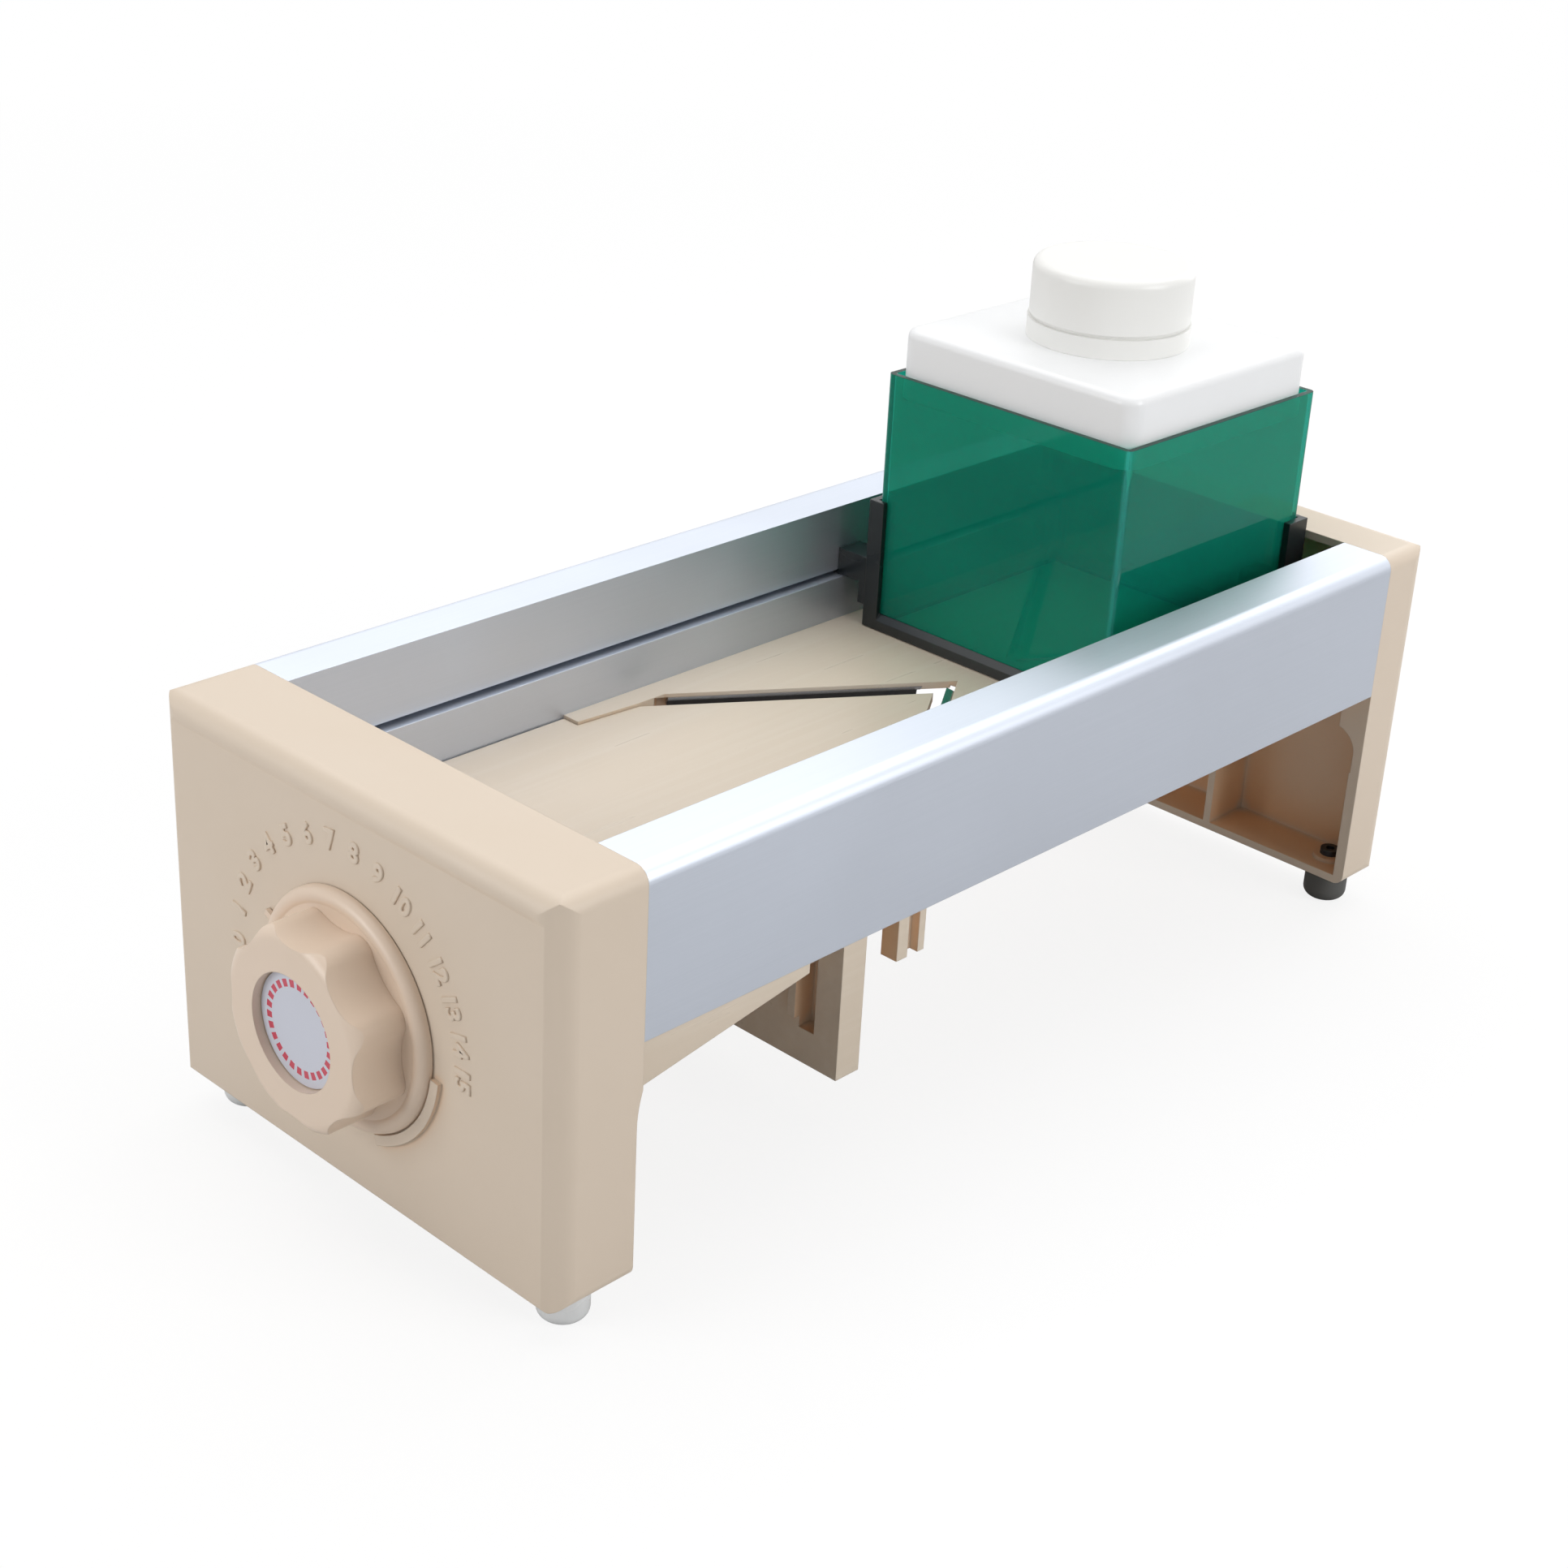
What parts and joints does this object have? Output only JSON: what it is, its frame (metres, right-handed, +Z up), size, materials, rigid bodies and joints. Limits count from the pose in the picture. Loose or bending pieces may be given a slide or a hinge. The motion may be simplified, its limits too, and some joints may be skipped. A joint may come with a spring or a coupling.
{
  "type": "hand food slicer",
  "caption": "Free-standing hand slicer: a hopper slides between two rails over a V of blades, and a dial lowers the front plate to set the slice thickness.",
  "frame": {"origin": "middle of the bounding box, on the surface the feet stand on", "axes": "+X to the right seen from the dial, +Y from the dial to the back along the rails, +Z up"},
  "size_m": [0.18, 0.4375, 0.2417],
  "materials": {
    "beige_plastic": "satin",
    "rail_aluminium": "satin",
    "blade_steel": "ground",
    "screw_steel": "zinc plated",
    "clamp_metal": "satin",
    "green_clear": "clear gloss",
    "dark_plastic": "satin",
    "white_plastic": "satin",
    "ivory_plastic": "satin",
    "bush_metal": "machined",
    "cam_plastic": "satin",
    "badge_plastic": "gloss",
    "pale_rubber": "matt",
    "grey_rubber": "matt"
  },
  "bodies": {
    "body": {"front_housing": "beige_plastic", "rear_housing": "beige_plastic", "rail_left": "rail_aluminium", "rail_right": "rail_aluminium", "rear_table": "beige_plastic", "blade_left": "blade_steel", "blade_right": "blade_steel", "blade_clamp_left": "clamp_metal", "blade_clamp_right": "clamp_metal", "blade_screws": "screw_steel", "table_screws": "screw_steel", "rail_screws": "screw_steel", "shaft_bush": "bush_metal", "front_feet": "pale_rubber", "rear_feet": "grey_rubber", "foot_screws": "screw_steel"},
    "dial": {"dial_knob": "beige_plastic", "dial_skirt": "beige_plastic", "dial_badge": "badge_plastic", "knob_screw": "screw_steel", "dial_shaft": "screw_steel", "thrust_washer": "screw_steel", "cam_disc": "cam_plastic", "cam_nut": "screw_steel"},
    "plate": {"slicing_plate": "beige_plastic", "follower_pin": "screw_steel"},
    "carriage": {"carriage_frame": "dark_plastic", "slide_shoes": "dark_plastic", "shoe_screws": "screw_steel", "hopper_box": "green_clear"},
    "pusher": {"pusher_tray": "white_plastic", "pusher_grip": "ivory_plastic", "grip_screw": "screw_steel"}
  },
  "joints": [
    {"name": "dial_turn", "type": "hinge", "parent": "body", "child": "dial", "pos_m": [0, -0.1975, 0.074], "axis": [0, 1, 0], "range_deg": [-24, 156]},
    {"name": "plate_lift", "type": "slide", "parent": "body", "child": "plate", "axis": [0, 0, 1], "range_m": [-0.00651, 0.00101]},
    {"name": "carriage_slide", "type": "slide", "parent": "body", "child": "carriage", "axis": [0, 1, 0], "range_m": [-0.2435, 0.0043]},
    {"name": "pusher_slide", "type": "slide", "parent": "carriage", "child": "pusher", "axis": [0, 0, 1], "range_m": [-0.083, 0.03]}
  ],
  "couplings": [
    {"joint": "plate_lift", "follows": "dial_turn", "m_per_rad": -0.0023873}
  ]
}
